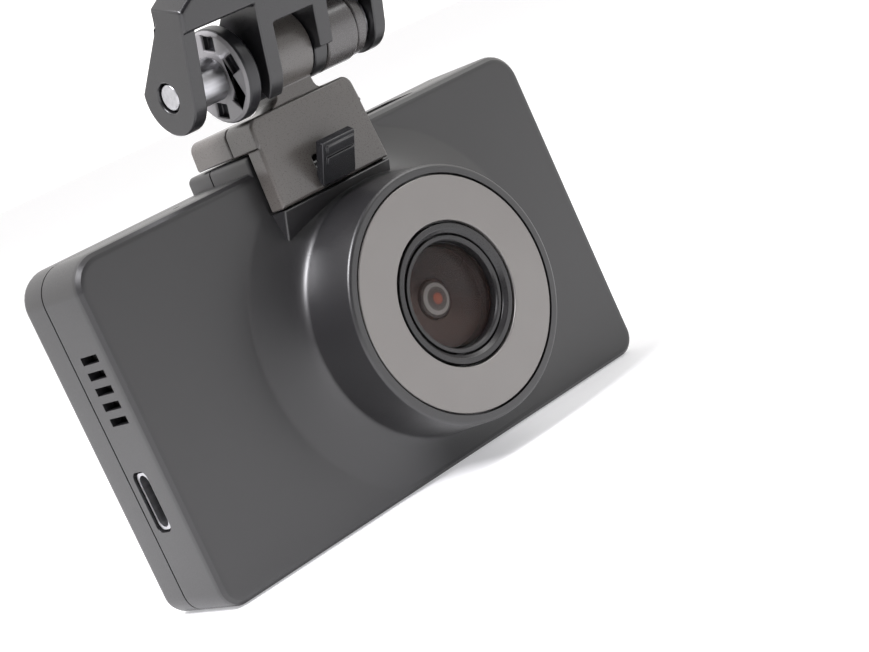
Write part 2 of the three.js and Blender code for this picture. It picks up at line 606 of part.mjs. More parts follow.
// Release lever: a ridged thumb piece that leans out of the plate, on a hub with the hook below it.
// The hook's tip stops level with the back of the plate, in front of its catch in the boss.
function releaseLever() {
  const lean = THREE.MathUtils.degToRad(lever.lean);
  const [upY, upZ] = [-Math.sin(lean), Math.cos(lean)];
  const foot = [plateY - lever.footProud, cradle.lowZ + lever.footZ];
  // A place on the thumb piece: so far up from its foot, and so far out in front of its face.
  const on = (up, out) => [foot[0] + up * upY - out * upZ, foot[1] + up * upZ + out * upY];
  const stemWidth = around(0, 2 * lever.stem);
  const lowZ = cradle.lowZ + gap;
  const tipY = faceY - gap;
  const stem = polygon([
    foot, on(1, 0), on(1, -lever.thickness), on(0.3, -lever.thickness),
    [pivotY - lever.hub * 0.9, lever.pivotZ], [pivotY + lever.hub * 0.9, lever.pivotZ],
    [tipY, lever.hookZ + lever.hookHeight / 2], [tipY, lever.hookZ - lever.hookHeight / 2],
    [pivotY + lever.hub * 0.6, lowZ], [foot[0] + 0.4, lowZ],
  ]);
  const thumb = polygon([
    foot, on(lever.length, 0), on(lever.length, -lever.thickness), on(0, -lever.thickness), [foot[0] + 0.4, lowZ],
  ]);
  const forPlate = box([-lever.half - 1, lever.half + 1], [plateY - gap, faceY], [lowZ - 1, cradle.topZ]);
  const ridges = [0.7, 2.5].map((down) => {
    const top = lever.length - down;
    return bar(polygon([
      on(top, -sink), on(top, lever.ridge), on(top - lever.ridgeWidth, lever.ridge), on(top - lever.ridgeWidth, -sink),
    ]), around(0.2, 2 * lever.half - 1.1));
  });
  return cut(join(cut(bar(thumb, around(0, 2 * lever.half)), forPlate), bar(stem, stemWidth),
    round('x', lever.hub, ...stemWidth, pivot, 18), ...ridges),
  round('x', lever.pin + gap, -10, 10, pivot, 14));
}

function releaseSpring() {
  class Helix extends THREE.Curve {
    getPoint(t, target = new THREE.Vector3()) {
      const angle = 2 * Math.PI * spring.turns * t;
      return target.set(lever.stem + 2 * gap + spring.wire + t * spring.turns * spring.pitch,
        pivotY + spring.radius * Math.cos(angle), lever.pivotZ + spring.radius * Math.sin(angle));
    }
  }
  const wire = new THREE.Shape();
  wire.absarc(0, 0, spring.wire, 0, 2 * Math.PI, false);
  return toSolid(new THREE.ExtrudeGeometry(wire,
    { extrudePath: new Helix(), steps: 12 * spring.turns, curveSegments: 3, bevelEnabled: false }));
}

place(camera, 'release_lever', releaseLever(), 'lensBlack');
place(camera, 'release_pin', round('x', lever.pin, -pinEnd, pinEnd, pivot, 14), 'steel');
place(camera, 'release_spring', releaseSpring(), 'steel');

// ---- Arm and hinge hardware, drawn about the hinge axis with the arm standing along Z ----
const axis = [0, 0];
const middleLeft = -cheekLeftIn - arm.cheekLeft;
const middleRight = cheekRightIn + arm.cheekRight;
const earIn = arm.halfWidth - arm.earWidth;

// The side of a lug round the hinge axis that hangs from the beam. Its flat front at frontY stops at stopZ,
// or carries on round the axis by wrap degrees.
function lugOutline(frontY, stopZ, wrap, backY) {
  const turn = Math.PI + THREE.MathUtils.degToRad(wrap);
  const shape = new THREE.Shape();
  shape.moveTo(frontY, arm.beamTo);
  shape.lineTo(frontY, stopZ);
  if (wrap > 0) shape.absarc(0, 0, -frontY, Math.PI, turn, false);
  shape.absarc(0, 0, hinge.radius, turn, 2 * Math.PI, false);
  shape.lineTo(backY, arm.beamFrom + 1);
  shape.lineTo(backY, arm.beamTo);
  return shape;
}

const armBackY = armFront + arm.depth;

function beamOutline(inset, lowZ, highZ) {
  const half = arm.halfWidth - inset;
  const top = arm.topHalf - inset;
  return polygon([[-half, lowZ], [half, lowZ], [half, arm.beamTo], [top, arm.taperTo], [top, highZ], [-top, highZ],
    [-top, arm.taperTo], [-half, arm.beamTo]]);
}

function armSolid() {
  const beam = slab(beamOutline(0, arm.beamFrom, arm.reach), [armFront, armBackY], arm.edge);
  const backY = armBackY - arm.edge;
  const ears = [[-arm.halfWidth, -earIn], [earIn, arm.halfWidth]].map((span) =>
    bar(lugOutline(armFront + arm.edge, arm.beamFrom, 0, backY), span, 0, 12));
  const cheeks = [
    bar(lugOutline(armFront, 0, arm.leftWrap, backY), [middleLeft, -cheekLeftIn], 0, 12),
    bar(lugOutline(armFront, arm.rightStop, 0, backY), [cheekRightIn, middleRight], 0, 12),
  ];
  const fascia = box([middleLeft, middleRight], [armFront, armFront + arm.plate + 1], [arm.windowTop, arm.beamFrom + 2]);
  const hollow = slab(beamOutline(arm.wall + gap, arm.beamFrom + arm.wall, arm.reach - arm.wall - 1),
    [armFront + arm.wall, armBackY + 1]);
  return cut(join(beam, ...ears, ...cheeks, fascia), hollow,
    round('x', hinge.bolt + gap, -30, 30, axis, 20),
    round('z', base.screw + gap, arm.reach - arm.wall - 2, arm.reach + 1, [0, swivelY], 14));
}

const swivelY = armFront + arm.wall + base.screwHead + gap;
place(swingArm, 'arm', armSolid(), 'arm');
place(swingArm, 'arm_cover', slab(
  beamOutline(arm.wall + 2.8 * gap, arm.beamFrom + arm.wall + gap, arm.reach - arm.wall - 1 - gap),
  [armBackY - arm.coverThickness, armBackY]), 'arm');

const sleeveStart = middleRight + gap;
const sleeveEnd = sleeveStart + sleeve.rightWidth;
place(swingArm, 'hinge_sleeve',
  round('x', hinge.radius, sleeveStart, sleeveEnd, axis, 36, hinge.bolt + gap), 'hinge');
const washerEnd = sleeveEnd + gap + sleeve.washer;
place(swingArm, 'hinge_washer',
  round('x', sleeve.washerRadius, sleeveEnd + gap, washerEnd, axis, 32, hinge.bolt + gap), 'hinge');
place(swingArm, 'spring_washer',
  round('x', sleeve.thinRadius, washerEnd + gap, earIn - gap, axis, 24, hinge.bolt + gap), 'steel');
const wheelRight = -wheel.inner;
const wheelLeft = wheelRight - wheel.width;
place(swingArm, 'left_sleeve',
  round('x', sleeve.leftRadius, wheelRight + gap, middleLeft - gap, axis, 28, hinge.bolt + gap), 'lensBlack');
place(swingArm, 'wheel_spacer',
  round('x', sleeve.spacerRadius, -earIn + gap, wheelLeft - gap, axis, 24, hinge.bolt + gap), 'steel');
place(swingArm, 'hinge_bolt', join(
  round('x', hinge.bolt, -arm.halfWidth + gap, arm.halfWidth + gap + 0.1, axis, 20),
  round('x', hinge.headRadius, arm.halfWidth + gap, arm.halfWidth + gap + hinge.headThickness, axis, 6)), 'steel');

function thumbwheel() {
  const edge = 0.6;
  const body = lathe([
    [hinge.bolt + gap, wheelLeft], [wheel.radius - edge, wheelLeft], [wheel.radius, wheelLeft + edge],
    [wheel.radius, wheelRight - edge], [wheel.radius - edge, wheelRight], [hinge.bolt + gap, wheelRight],
  ], 40);
  const slots = Array.from({ length: wheel.slots }, (_, i) => {
    const slot = new THREE.BoxGeometry(wheel.slotDepth * 2, wheel.slotWidth, wheel.slotLength);
    slot.translate(wheelLeft, 0, wheel.radius - 1 - wheel.slotLength / 2);
    return toSolid(slot.rotateX((2 * Math.PI * i) / wheel.slots));
  });
  return cut(toSolid(body.rotateZ(-Math.PI / 2)), ...slots);
}

place(swingArm, 'thumbwheel', thumbwheel(), 'lensBlack');

// ---- Windscreen base that swivels on top of the arm ----
const swivelAt = [0, swivelY];
const hubZ = arm.reach + gap + base.washerThickness + gap;
const plateZ = hubZ + base.hubLength;
const padZ = plateZ + base.thickness + gap;

function baseSolid() {
  const rise = (height) => plateZ + height;
  const geometry = lathe([
    [0, hubZ], [base.hub, hubZ], [base.hub, rise(0)], [base.radius - 4, rise(0.6)],
    [base.radius - base.edge * 0.4, rise(base.thickness - base.edge)], [base.radius, rise(base.thickness - 0.5)],
    [base.radius, rise(base.thickness)], [0, rise(base.thickness)],
  ], 48).rotateX(Math.PI / 2).translate(...swivelAt, 0);
  return cut(toSolid(geometry), round('z', base.screw + gap, hubZ - 1, plateZ + 2, swivelAt, 14));
}

place(swingArm, 'windscreen_base', baseSolid(), 'arm');
place(swingArm, 'adhesive_pad',
  round('z', base.radius - base.padMargin, padZ, padZ + base.padThickness, swivelAt, 48), 'foam');
place(swingArm, 'swivel_washer', round('z', base.washer, arm.reach + gap, arm.reach + gap + base.washerThickness, swivelAt,
  28, base.screw + gap), 'steel');
const screwHeadZ = arm.reach - arm.wall - 1 - gap;
place(swingArm, 'swivel_screw', join(
  round('z', base.screw, screwHeadZ - 0.1, plateZ + 1.6, swivelAt, 14),
  round('z', base.screwHead, screwHeadZ - base.screwHeadDepth, screwHeadZ, swivelAt, 14)), 'steel');

export default camera;
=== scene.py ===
# Dash camera on its cradle, hinge and windscreen arm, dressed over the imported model.
import json
import math

import bmesh
import bpy
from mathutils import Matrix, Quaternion, Vector


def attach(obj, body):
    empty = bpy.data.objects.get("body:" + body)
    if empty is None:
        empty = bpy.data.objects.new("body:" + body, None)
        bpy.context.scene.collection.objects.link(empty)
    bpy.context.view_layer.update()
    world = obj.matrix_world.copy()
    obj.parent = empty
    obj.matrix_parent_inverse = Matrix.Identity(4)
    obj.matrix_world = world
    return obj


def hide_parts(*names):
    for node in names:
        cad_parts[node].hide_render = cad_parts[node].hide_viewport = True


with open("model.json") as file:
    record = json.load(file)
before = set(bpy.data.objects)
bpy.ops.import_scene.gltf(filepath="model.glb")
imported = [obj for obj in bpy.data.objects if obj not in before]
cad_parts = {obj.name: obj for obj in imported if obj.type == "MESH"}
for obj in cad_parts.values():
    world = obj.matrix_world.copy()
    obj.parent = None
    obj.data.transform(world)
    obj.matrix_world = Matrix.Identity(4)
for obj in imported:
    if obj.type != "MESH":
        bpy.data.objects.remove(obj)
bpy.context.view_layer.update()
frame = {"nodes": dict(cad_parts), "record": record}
mm = 0.001
bodies = frame["record"]["behaviour"]["bodies"]
bodyOfNode = {node: body for body, nodes in bodies.items() for node in nodes}
slotOfNode = {part["node"]: part["material_slot"] for part in frame["record"]["subparts"]}
print("frame loaded:", len(frame["nodes"]), "nodes")

# Place in millimetres, angles in degrees; the camera is rolled, as the photograph's is.
viewpoint = {"place": (-193.3, -267.4, 67.5), "azimuth": -37.9, "elevation": 8.1, "roll": 24.5,
             "lens": 88.4, "sensor": 36, "nearest": 0.01}


def aimCamera():
    data = bpy.data.cameras.new("studioCamera")
    data.lens = viewpoint["lens"]
    data.sensor_width = viewpoint["sensor"]
    data.clip_start = viewpoint["nearest"]
    cam = bpy.data.objects.new("studioCamera", data)
    bpy.context.collection.objects.link(cam)
    turn = math.radians(viewpoint["azimuth"])
    rise = math.radians(viewpoint["elevation"])
    back = Vector((math.sin(turn) * math.cos(rise), -math.cos(turn) * math.cos(rise), math.sin(rise)))
    roll = Quaternion((0, 0, 1), -math.radians(viewpoint["roll"]))
    cam.rotation_mode = "QUATERNION"
    cam.rotation_quaternion = (-back).to_track_quat("-Z", "Y") @ roll
    cam.location = Vector(viewpoint["place"]) * mm
    bpy.context.scene.camera = cam


aimCamera()
print("camera aimed")

lensAxis = {"x": 4.7, "z": 25.65}  # where the lens looks out of the case, in millimetres


def newMaterial(name):
    material = bpy.data.materials.new(name)
    material.use_nodes = True
    tree = material.node_tree
    return material, tree, tree.nodes["Principled BSDF"]


def addNode(tree, kind, **values):
    node = tree.nodes.new(kind)
    for key, value in values.items():
        if key in node.inputs:
            node.inputs[key].default_value = value
        else:
            setattr(node, key, value)
    return node


def grain(tree, scale, detail=3.0):
    coords = addNode(tree, "ShaderNodeTexCoord")
    noiseNode = addNode(tree, "ShaderNodeTexNoise", Scale=scale, Detail=detail, Roughness=0.55)
    tree.links.new(coords.outputs["Object"], noiseNode.inputs["Vector"])
    return noiseNode


def spread(tree, source, low, high, fromLow=0.3, fromHigh=0.7):
    node = addNode(tree, "ShaderNodeMapRange")
    node.inputs["From Min"].default_value = fromLow
    node.inputs["From Max"].default_value = fromHigh
    node.inputs["To Min"].default_value = low
    node.inputs["To Max"].default_value = high
    tree.links.new(source, node.inputs["Value"])
    return node.outputs["Result"]


def tint(tree, source, dark, light):
    ramp = addNode(tree, "ShaderNodeValToRGB")
    ramp.color_ramp.elements[0].position = 0.3
    ramp.color_ramp.elements[1].position = 0.7
    ramp.color_ramp.elements[0].color = (*dark, 1)
    ramp.color_ramp.elements[1].color = (*light, 1)
    tree.links.new(source, ramp.inputs["Fac"])
    return ramp.outputs["Color"]


# Plastic: two close shades in a broad mottle, and a fine texture in the gloss and the bump.
def moulded(name, dark, light, rough, texture=900, bump=0.05, coat=0.0, specular=0.5, metallic=0.0):
    material, tree, shader = newMaterial(name)
    fine = grain(tree, texture)
    broad = grain(tree, 45, 2.0)
    tree.links.new(tint(tree, broad.outputs["Fac"], dark, light), shader.inputs["Base Color"])
    tree.links.new(spread(tree, fine.outputs["Fac"], rough - 0.05, rough + 0.05), shader.inputs["Roughness"])
    bumpNode = addNode(tree, "ShaderNodeBump", Strength=bump, Distance=0.00008)
    tree.links.new(fine.outputs["Fac"], bumpNode.inputs["Height"])
    tree.links.new(bumpNode.outputs["Normal"], shader.inputs["Normal"])
    shader.inputs["Specular IOR Level"].default_value = specular
    shader.inputs["Coat Weight"].default_value = coat
    shader.inputs["Metallic"].default_value = metallic
    return material


# A coated pane that shows what is behind it: alpha is how much of its own colour covers that.
def lensGlass(name, colour, rough, alpha):
    material, tree, shader = newMaterial(name)
    broad = grain(tree, 60, 2.0)
    tree.links.new(spread(tree, broad.outputs["Fac"], rough, rough + 0.02), shader.inputs["Roughness"])
    shader.inputs["Base Color"].default_value = (*colour, 1)
    shader.inputs["Alpha"].default_value = alpha
    shader.inputs["IOR"].default_value = 1.35
    return material


# Puts a second colour on what lies below a place along X, in metres.
def splitAlong(material, place, dark, light, edge=0.00003):
    tree = material.node_tree
    shader = tree.nodes["Principled BSDF"]
    coords = addNode(tree, "ShaderNodeTexCoord")
    apart = addNode(tree, "ShaderNodeSeparateXYZ")
    tree.links.new(coords.outputs["Object"], apart.inputs["Vector"])
    share = spread(tree, apart.outputs["X"], 1.0, 0.0, place - edge, place + edge)
    mixer = addNode(tree, "ShaderNodeMix", data_type="RGBA")
    tree.links.new(share, mixer.inputs["Factor"])
    tree.links.new(shader.inputs["Base Color"].links[0].from_socket, mixer.inputs["A"])
    broad = grain(tree, 70, 2.0)
    tree.links.new(tint(tree, broad.outputs["Fac"], dark, light), mixer.inputs["B"])
    tree.links.new(mixer.outputs["Result"], shader.inputs["Base Color"])
    return material


def turnedMetal(name, dark, light, rough, stretch=(1, 40, 40)):
    material, tree, shader = newMaterial(name)
    coords = addNode(tree, "ShaderNodeTexCoord")
    mapping = addNode(tree, "ShaderNodeMapping")
    mapping.inputs["Scale"].default_value = stretch
    noiseNode = addNode(tree, "ShaderNodeTexNoise", Scale=40, Detail=3)
    tree.links.new(coords.outputs["Object"], mapping.inputs["Vector"])
    tree.links.new(mapping.outputs["Vector"], noiseNode.inputs["Vector"])
    streaks = noiseNode.outputs["Fac"]
    tree.links.new(tint(tree, streaks, dark, light), shader.inputs["Base Color"])
    tree.links.new(spread(tree, streaks, rough - 0.06, rough + 0.08), shader.inputs["Roughness"])
    shader.inputs["Metallic"].default_value = 1.0
    return material


# Colours a lens by the distance from its axis: stops are (millimetres, colour), in rising order.
def radialTint(material, stops, farthest):
    tree = material.node_tree
    coords = addNode(tree, "ShaderNodeTexCoord")
    shift = addNode(tree, "ShaderNodeVectorMath", operation="SUBTRACT")
    shift.inputs[1].default_value = (lensAxis["x"] * mm, 0, lensAxis["z"] * mm)
    flat = addNode(tree, "ShaderNodeVectorMath", operation="MULTIPLY")
    flat.inputs[1].default_value = (1, 0, 1)
    size = addNode(tree, "ShaderNodeVectorMath", operation="LENGTH")
    tree.links.new(coords.outputs["Object"], shift.inputs[0])
    tree.links.new(shift.outputs["Vector"], flat.inputs[0])
    tree.links.new(flat.outputs["Vector"], size.inputs[0])
    ramp = addNode(tree, "ShaderNodeValToRGB")
    tree.links.new(spread(tree, size.outputs["Value"], 0, 1, 0, farthest * mm), ramp.inputs["Fac"])
    elements = ramp.color_ramp.elements
    while len(elements) < len(stops):
        elements.new(0.5)
    for element, (place, colour) in zip(elements, stops):
        element.position = place / farthest
        element.color = (*colour, 1)
    tree.links.new(ramp.outputs["Color"], tree.nodes["Principled BSDF"].inputs["Base Color"])
    return material


# Paints light and shade across the lens: one colour on one side fades into another on the other side, along
# a direction.
def paintedLightAcross(material, direction, span, dark, light):
    tree = material.node_tree
    coords = addNode(tree, "ShaderNodeTexCoord")
    along = addNode(tree, "ShaderNodeVectorMath", operation="DOT_PRODUCT")
    along.inputs[1].default_value = direction
    tree.links.new(coords.outputs["Object"], along.inputs[0])
    middle = sum(a * b for a, b in zip(direction, (lensAxis["x"] * mm, 0, lensAxis["z"] * mm)))
    share = spread(tree, along.outputs["Value"], 0.0, 1.0, middle - span * mm, middle + span * mm)
    shader = tree.nodes["Principled BSDF"]
    tree.links.new(tint(tree, share, dark, light), shader.inputs["Base Color"])
    return material


finishes = {
    "casing": moulded("casingBlack", (0.0105, 0.010, 0.011), (0.0125, 0.012, 0.013), 0.4,
                      texture=5200, bump=0.10, specular=0.84),
    "keys": moulded("keyBlack", (0.022, 0.022, 0.023), (0.026, 0.026, 0.027), 0.4, texture=5000),
    "ring": moulded("ringGrey", (0.205, 0.194, 0.187), (0.22, 0.21, 0.202), 0.38,
                    texture=6500, bump=0.08, metallic=0.4),
    "lens_black": moulded("lensBlack", (0.016, 0.0155, 0.016), (0.020, 0.019, 0.020), 0.3,
                          texture=5200, bump=0.03),
    "lens_glass": lensGlass("coatedGlass", (0.030, 0.017, 0.014), 0.02, 0.32),
    "screen": moulded("screenGlass", (0.005, 0.005, 0.006), (0.007, 0.007, 0.008), 0.05,
                      texture=300, bump=0.0, specular=0.4),
    "panel": moulded("panelBlack", (0.005, 0.005, 0.006), (0.008, 0.008, 0.009), 0.2, texture=300),
    "light_pipe": moulded("lightPipe", (0.36, 0.39, 0.41), (0.44, 0.46, 0.48), 0.25, texture=600),
    "cradle": moulded("cradleSatin", (0.076, 0.069, 0.064), (0.083, 0.076, 0.070), 0.3,
                      texture=6500, bump=0.05, specular=0.9),
    "lever": moulded("leverBlack", (0.013, 0.013, 0.015), (0.017, 0.017, 0.019), 0.22,
                     texture=6500, bump=0.03),
    "sleeve": moulded("sleeveSatin", (0.055, 0.051, 0.050), (0.062, 0.057, 0.056), 0.26,
                      texture=6500, bump=0.04, specular=0.9),
    "wheel": splitAlong(
        moulded("wheelTwoTone", (0.012, 0.012, 0.014), (0.016, 0.016, 0.018), 0.33, texture=5200),
        -0.0101, (0.20, 0.195, 0.20), (0.22, 0.215, 0.22)),
    "arm": moulded("armBlack", (0.008, 0.0078, 0.009), (0.010, 0.0098, 0.011), 0.32,
                   texture=5200, bump=0.06, specular=0.7),
    "pad": moulded("padFoam", (0.012, 0.012, 0.012), (0.024, 0.024, 0.024), 0.9,
                   texture=1500, bump=0.5),
    "steel": turnedMetal("platedSteel", (0.42, 0.42, 0.44), (0.55, 0.55, 0.57), 0.34),
    "battery_foil": turnedMetal("foilPouch", (0.55, 0.55, 0.57), (0.65, 0.65, 0.67), 0.45, (1, 1, 1)),
    "circuit_board": moulded("solderMask", (0.010, 0.05, 0.025), (0.014, 0.07, 0.035), 0.3, texture=400),
    "chip": moulded("chipBlack", (0.02, 0.02, 0.02), (0.03, 0.03, 0.03), 0.6, texture=1200),
}
plainGrey = (0.1, 0.1, 0.1)  # stands in where another colour is linked over it
# The inner lens coloured by distance from its axis: the red centre is a painted glint, inside a pale ring
# that is the inner ring's own colour.
innerGlassPaintedGlint = radialTint(
    moulded("innerLensGlassGlint", plainGrey, plainGrey, 0.12, texture=5200, bump=0.0, coat=0.5),
    [(0.0, (0.90, 0.22, 0.09)), (0.75, (0.75, 0.14, 0.07)), (1.0, (0.12, 0.09, 0.08)),
     (1.75, (0.20, 0.18, 0.16)), (1.95, (0.85, 0.82, 0.77)), (2.4, (0.85, 0.82, 0.77)),
     (2.55, (0.08, 0.065, 0.06)), (2.9, (0.03, 0.025, 0.024))], 3.0)
# Painted reflection: the baffle is a lit brown toward the lower left, and its own dark colour toward the
# upper right.
bafflePaintedLight = paintedLightAcross(
    moulded("bafflePaintedLight", plainGrey, plainGrey, 0.3, texture=5200, bump=0.0),
    (0.6, 0, 0.8), 6.5, (0.16, 0.10, 0.085), (0.012, 0.010, 0.010))
for nodeName, node in frame["nodes"].items():
    node.data.materials.clear()
    node.data.materials.append(finishes[slotOfNode[nodeName]])
print("materials made:", len(finishes), "and two tints for the lens")

mergeDistance = 0.000001
turnSteps = 160


# Gives a finished mesh its material, its body and its slot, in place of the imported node.
def addPiece(name, mesh, nodeName, material=None):
    piece = bpy.data.objects.new(name, mesh)
    bpy.context.collection.objects.link(piece)
    mesh.materials.clear()
    mesh.materials.append(material or finishes[slotOfNode[nodeName]])
    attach(piece, bodyOfNode[nodeName])
    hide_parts(nodeName)
    return piece


def sharpen(bm, angle):
    for face in bm.faces:
        face.smooth = True
    limit = math.radians(angle)
    for edge in bm.edges:
        edge.smooth = len(edge.link_faces) == 2 and edge.calc_face_angle(0) < limit


edgeFinish = {"sharpFrom": 32, "flatUnder": 0.4, "segments": 3}


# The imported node's own shape with rounded edges: bevel is their width in millimetres.
def dressed(nodeName, bevel, material=None):
    bm = bmesh.new()
    bm.from_mesh(frame["nodes"][nodeName].data)
    bmesh.ops.remove_doubles(bm, verts=bm.verts, dist=mergeDistance)
    bmesh.ops.dissolve_limit(bm, angle_limit=math.radians(edgeFinish["flatUnder"]), verts=bm.verts,
                             edges=bm.edges)
    sharpen(bm, edgeFinish["sharpFrom"])
    mesh = bpy.data.meshes.new(nodeName + "Body")
    bm.to_mesh(mesh)
    bm.free()
    piece = addPiece(nodeName + "Body", mesh, nodeName, material)
    if bevel:
        mod = piece.modifiers.new("softEdges", "BEVEL")
        mod.width = bevel * mm
        mod.segments = edgeFinish["segments"]
        mod.limit_method = "ANGLE"
        mod.angle_limit = math.radians(edgeFinish["sharpFrom"])
        mod.use_clamp_overlap = False
        mod.miter_outer = "MITER_ARC"
    piece.modifiers.new("evenShading", "WEIGHTED_NORMAL").keep_sharp = True


def meshOf(bm, name):
    bmesh.ops.recalc_face_normals(bm, faces=bm.faces)
    mesh = bpy.data.meshes.new(name)
    bm.to_mesh(mesh)
    bm.free()
    return mesh


# A ring or disc turned about the lens axis from corners of (radius, y). A disc's corners start and
# end on the axis, so its outline is left open there.
def turnedMesh(name, corners):
    bm = bmesh.new()
    points = [bm.verts.new((radius * mm, y * mm, 0)) for radius, y in corners]
    isDisc = points[0].co.x == 0 and points[-1].co.x == 0
    count = len(points) - 1 if isDisc else len(points)
    edges = [bm.edges.new((points[i], points[(i + 1) % len(points)])) for i in range(count)]
    bmesh.ops.spin(bm, geom=points + edges, cent=(0, 0, 0), axis=(0, 1, 0), angle=2 * math.pi,
                   steps=turnSteps, use_merge=True)
    bmesh.ops.remove_doubles(bm, verts=bm.verts, dist=mergeDistance / 2)
    bmesh.ops.translate(bm, verts=bm.verts, vec=(lensAxis["x"] * mm, 0, lensAxis["z"] * mm))
    return meshOf(bm, name)


# A flat outline carried from low to high along the third axis: axes names the outline's two.
def prismMesh(name, outline, low, high, axes="xz"):
    bm = bmesh.new()
    if axes == "xz":
        at = [(a * mm, low * mm, b * mm) for a, b in outline]
        step = Vector((0, (high - low) * mm, 0))
    else:
        at = [(low * mm, a * mm, b * mm) for a, b in outline]
        step = Vector(((high - low) * mm, 0, 0))
    face = bm.faces.new([bm.verts.new(place) for place in at])
    grown = bmesh.ops.extrude_face_region(bm, geom=[face])
    moved = [v for v in grown["geom"] if isinstance(v, bmesh.types.BMVert)]
    bmesh.ops.translate(bm, verts=moved, vec=step)
    return meshOf(bm, name)


# Points on an arc about a centre, from a first to a last angle in degrees.
def arcPoints(centre, radius, first, last, steps):
    angles = [math.radians(first + (last - first) * i / steps) for i in range(steps + 1)]
    return [(centre[0] + radius * math.cos(angle), centre[1] + radius * math.sin(angle))
            for angle in angles]


def roundedOutline(halfWidth, low, high, lowRadius, highRadius, steps=10):
    lowX, highX = halfWidth - lowRadius, halfWidth - highRadius
    lowZ, highZ = low + lowRadius, high - highRadius
    corners = [(lowX, lowZ, lowRadius, -90), (highX, highZ, highRadius, 0),
               (-highX, highZ, highRadius, 90), (-lowX, lowZ, lowRadius, 180)]
    return [point for x, z, radius, start in corners
            for point in arcPoints((x, z), radius, start, start + 90, steps)]


# Adds, cuts or keeps the common part of each other mesh in turn, and gives back one mesh.
def combined(mesh, *changes):
    whole = bpy.data.objects.new("whole", mesh)
    bpy.context.collection.objects.link(whole)
    others = []
    for operation, other in changes:
        helper = bpy.data.objects.new("helper", other)
        bpy.context.collection.objects.link(helper)
        others.append(helper)
        mod = whole.modifiers.new("change", "BOOLEAN")
        mod.operation = operation
        mod.solver = "MANIFOLD"
        mod.object = helper
    bpy.context.view_layer.update()
    finished = whole.evaluated_get(bpy.context.evaluated_depsgraph_get())
    made = bpy.data.meshes.new_from_object(finished)
    for spare in [whole, *others]:
        bpy.data.objects.remove(spare)
    return made


def packedMesh(nodeName):
    bm = bmesh.new()
    bm.from_mesh(frame["nodes"][nodeName].data)
    bmesh.ops.remove_doubles(bm, verts=bm.verts, dist=mergeDistance)
    mesh = bpy.data.meshes.new(nodeName + "Copy")
    bm.to_mesh(mesh)
    bm.free()
    return mesh


# Smooths a mesh up to an angle, and joins faces that are flat to within flatUnder degrees.
def shaded(mesh, angle, flatUnder=0.0):
    bm = bmesh.new()
    bm.from_mesh(mesh)
    bmesh.ops.remove_doubles(bm, verts=bm.verts, dist=mergeDistance)
    if flatUnder:
        bmesh.ops.dissolve_limit(bm, angle_limit=math.radians(flatUnder), verts=bm.verts, edges=bm.edges)
    sharpen(bm, angle)
    bm.to_mesh(mesh)
    bm.free()
    return mesh


# Sizes in millimetres: bury is how far a new solid starts inside the face that it joins.
caseFront = {"faceY": -8.5, "ringY": -21.5, "halfWidth": 46.0, "height": 54.6, "lowCorner": 3.5,
             "highCorner": 5.0, "edge": 1.5, "bury": 0.4, "sharpFrom": 28, "flatUnder": 0.2}
barrelSizes = {"rim": 19.8, "rimEdge": 0.6, "base": 20.5, "flare": 8.5, "flareDepth": 3.8, "flareStart": 38,
               "bore": 17.4, "frontWall": 2.8, "recess": 1.3, "seat": 18.4, "opening": 11.0,
               "flareSteps": 18, "rimSteps": 4, "bury": 0.5}
plateSizes = {"lowZ": 47.9, "topZ": 61.8, "half": 11.1, "taper": 0.045, "proud": 3.75, "gap": 0.3,
              "padFrom": 40.4, "padEdge": 0.35}
cutAhead = {"side": 60, "low": -5, "high": 70, "reach": 5, "clear": 0.002}  # all in front of the face


# The barrel and its flare, held within the face's outline and cut clear of the cradle's plate.
def barrelMesh():
    sizes = barrelSizes
    face, ring = caseFront["faceY"], caseFront["ringY"]
    first = math.radians(sizes["flareStart"])
    steps = sizes["flareSteps"]
    turns = [first + (math.pi / 2 - first) * i / steps for i in range(steps + 1)]
    across = sizes["flare"] / (1 - math.sin(first))
    ahead = sizes["flareDepth"] / math.cos(first)
    flare = [(sizes["base"] + across * (1 - math.sin(turn)),
              face - ahead * (math.cos(first) - math.cos(turn))) for turn in turns]
    rimCentre = (sizes["rim"] - sizes["rimEdge"], ring + sizes["rimEdge"])
    rim = arcPoints(rimCentre, sizes["rimEdge"], 0, -90, sizes["rimSteps"])
    buried = face + sizes["bury"]
    corners = [(sizes["bore"], buried), (flare[0][0], buried), *flare, *rim, (sizes["seat"], ring),
               (sizes["seat"], ring + sizes["recess"]), (sizes["opening"], ring + sizes["recess"]),
               (sizes["opening"], ring + sizes["frontWall"]), (sizes["bore"], ring + sizes["frontWall"])]
    inset = caseFront["edge"]
    within = roundedOutline(caseFront["halfWidth"] - inset, inset, caseFront["height"] - inset,
                            caseFront["lowCorner"] - inset, caseFront["highCorner"] - inset)
    low = plateSizes["half"] + plateSizes["gap"]
    top = low - plateSizes["taper"] * (plateSizes["topZ"] - plateSizes["lowZ"])
    lowZ, topZ = plateSizes["lowZ"] - plateSizes["gap"], plateSizes["topZ"]
    forPlate = [(-low, lowZ), (low, lowZ), (top, topZ), (-top, topZ)]
    return combined(turnedMesh("barrel", corners),
                    ("INTERSECT", prismMesh("within", within, ring - 1, face + caseFront["bury"])),
                    ("DIFFERENCE", prismMesh("forPlate", forPlate, ring - 1, face)))


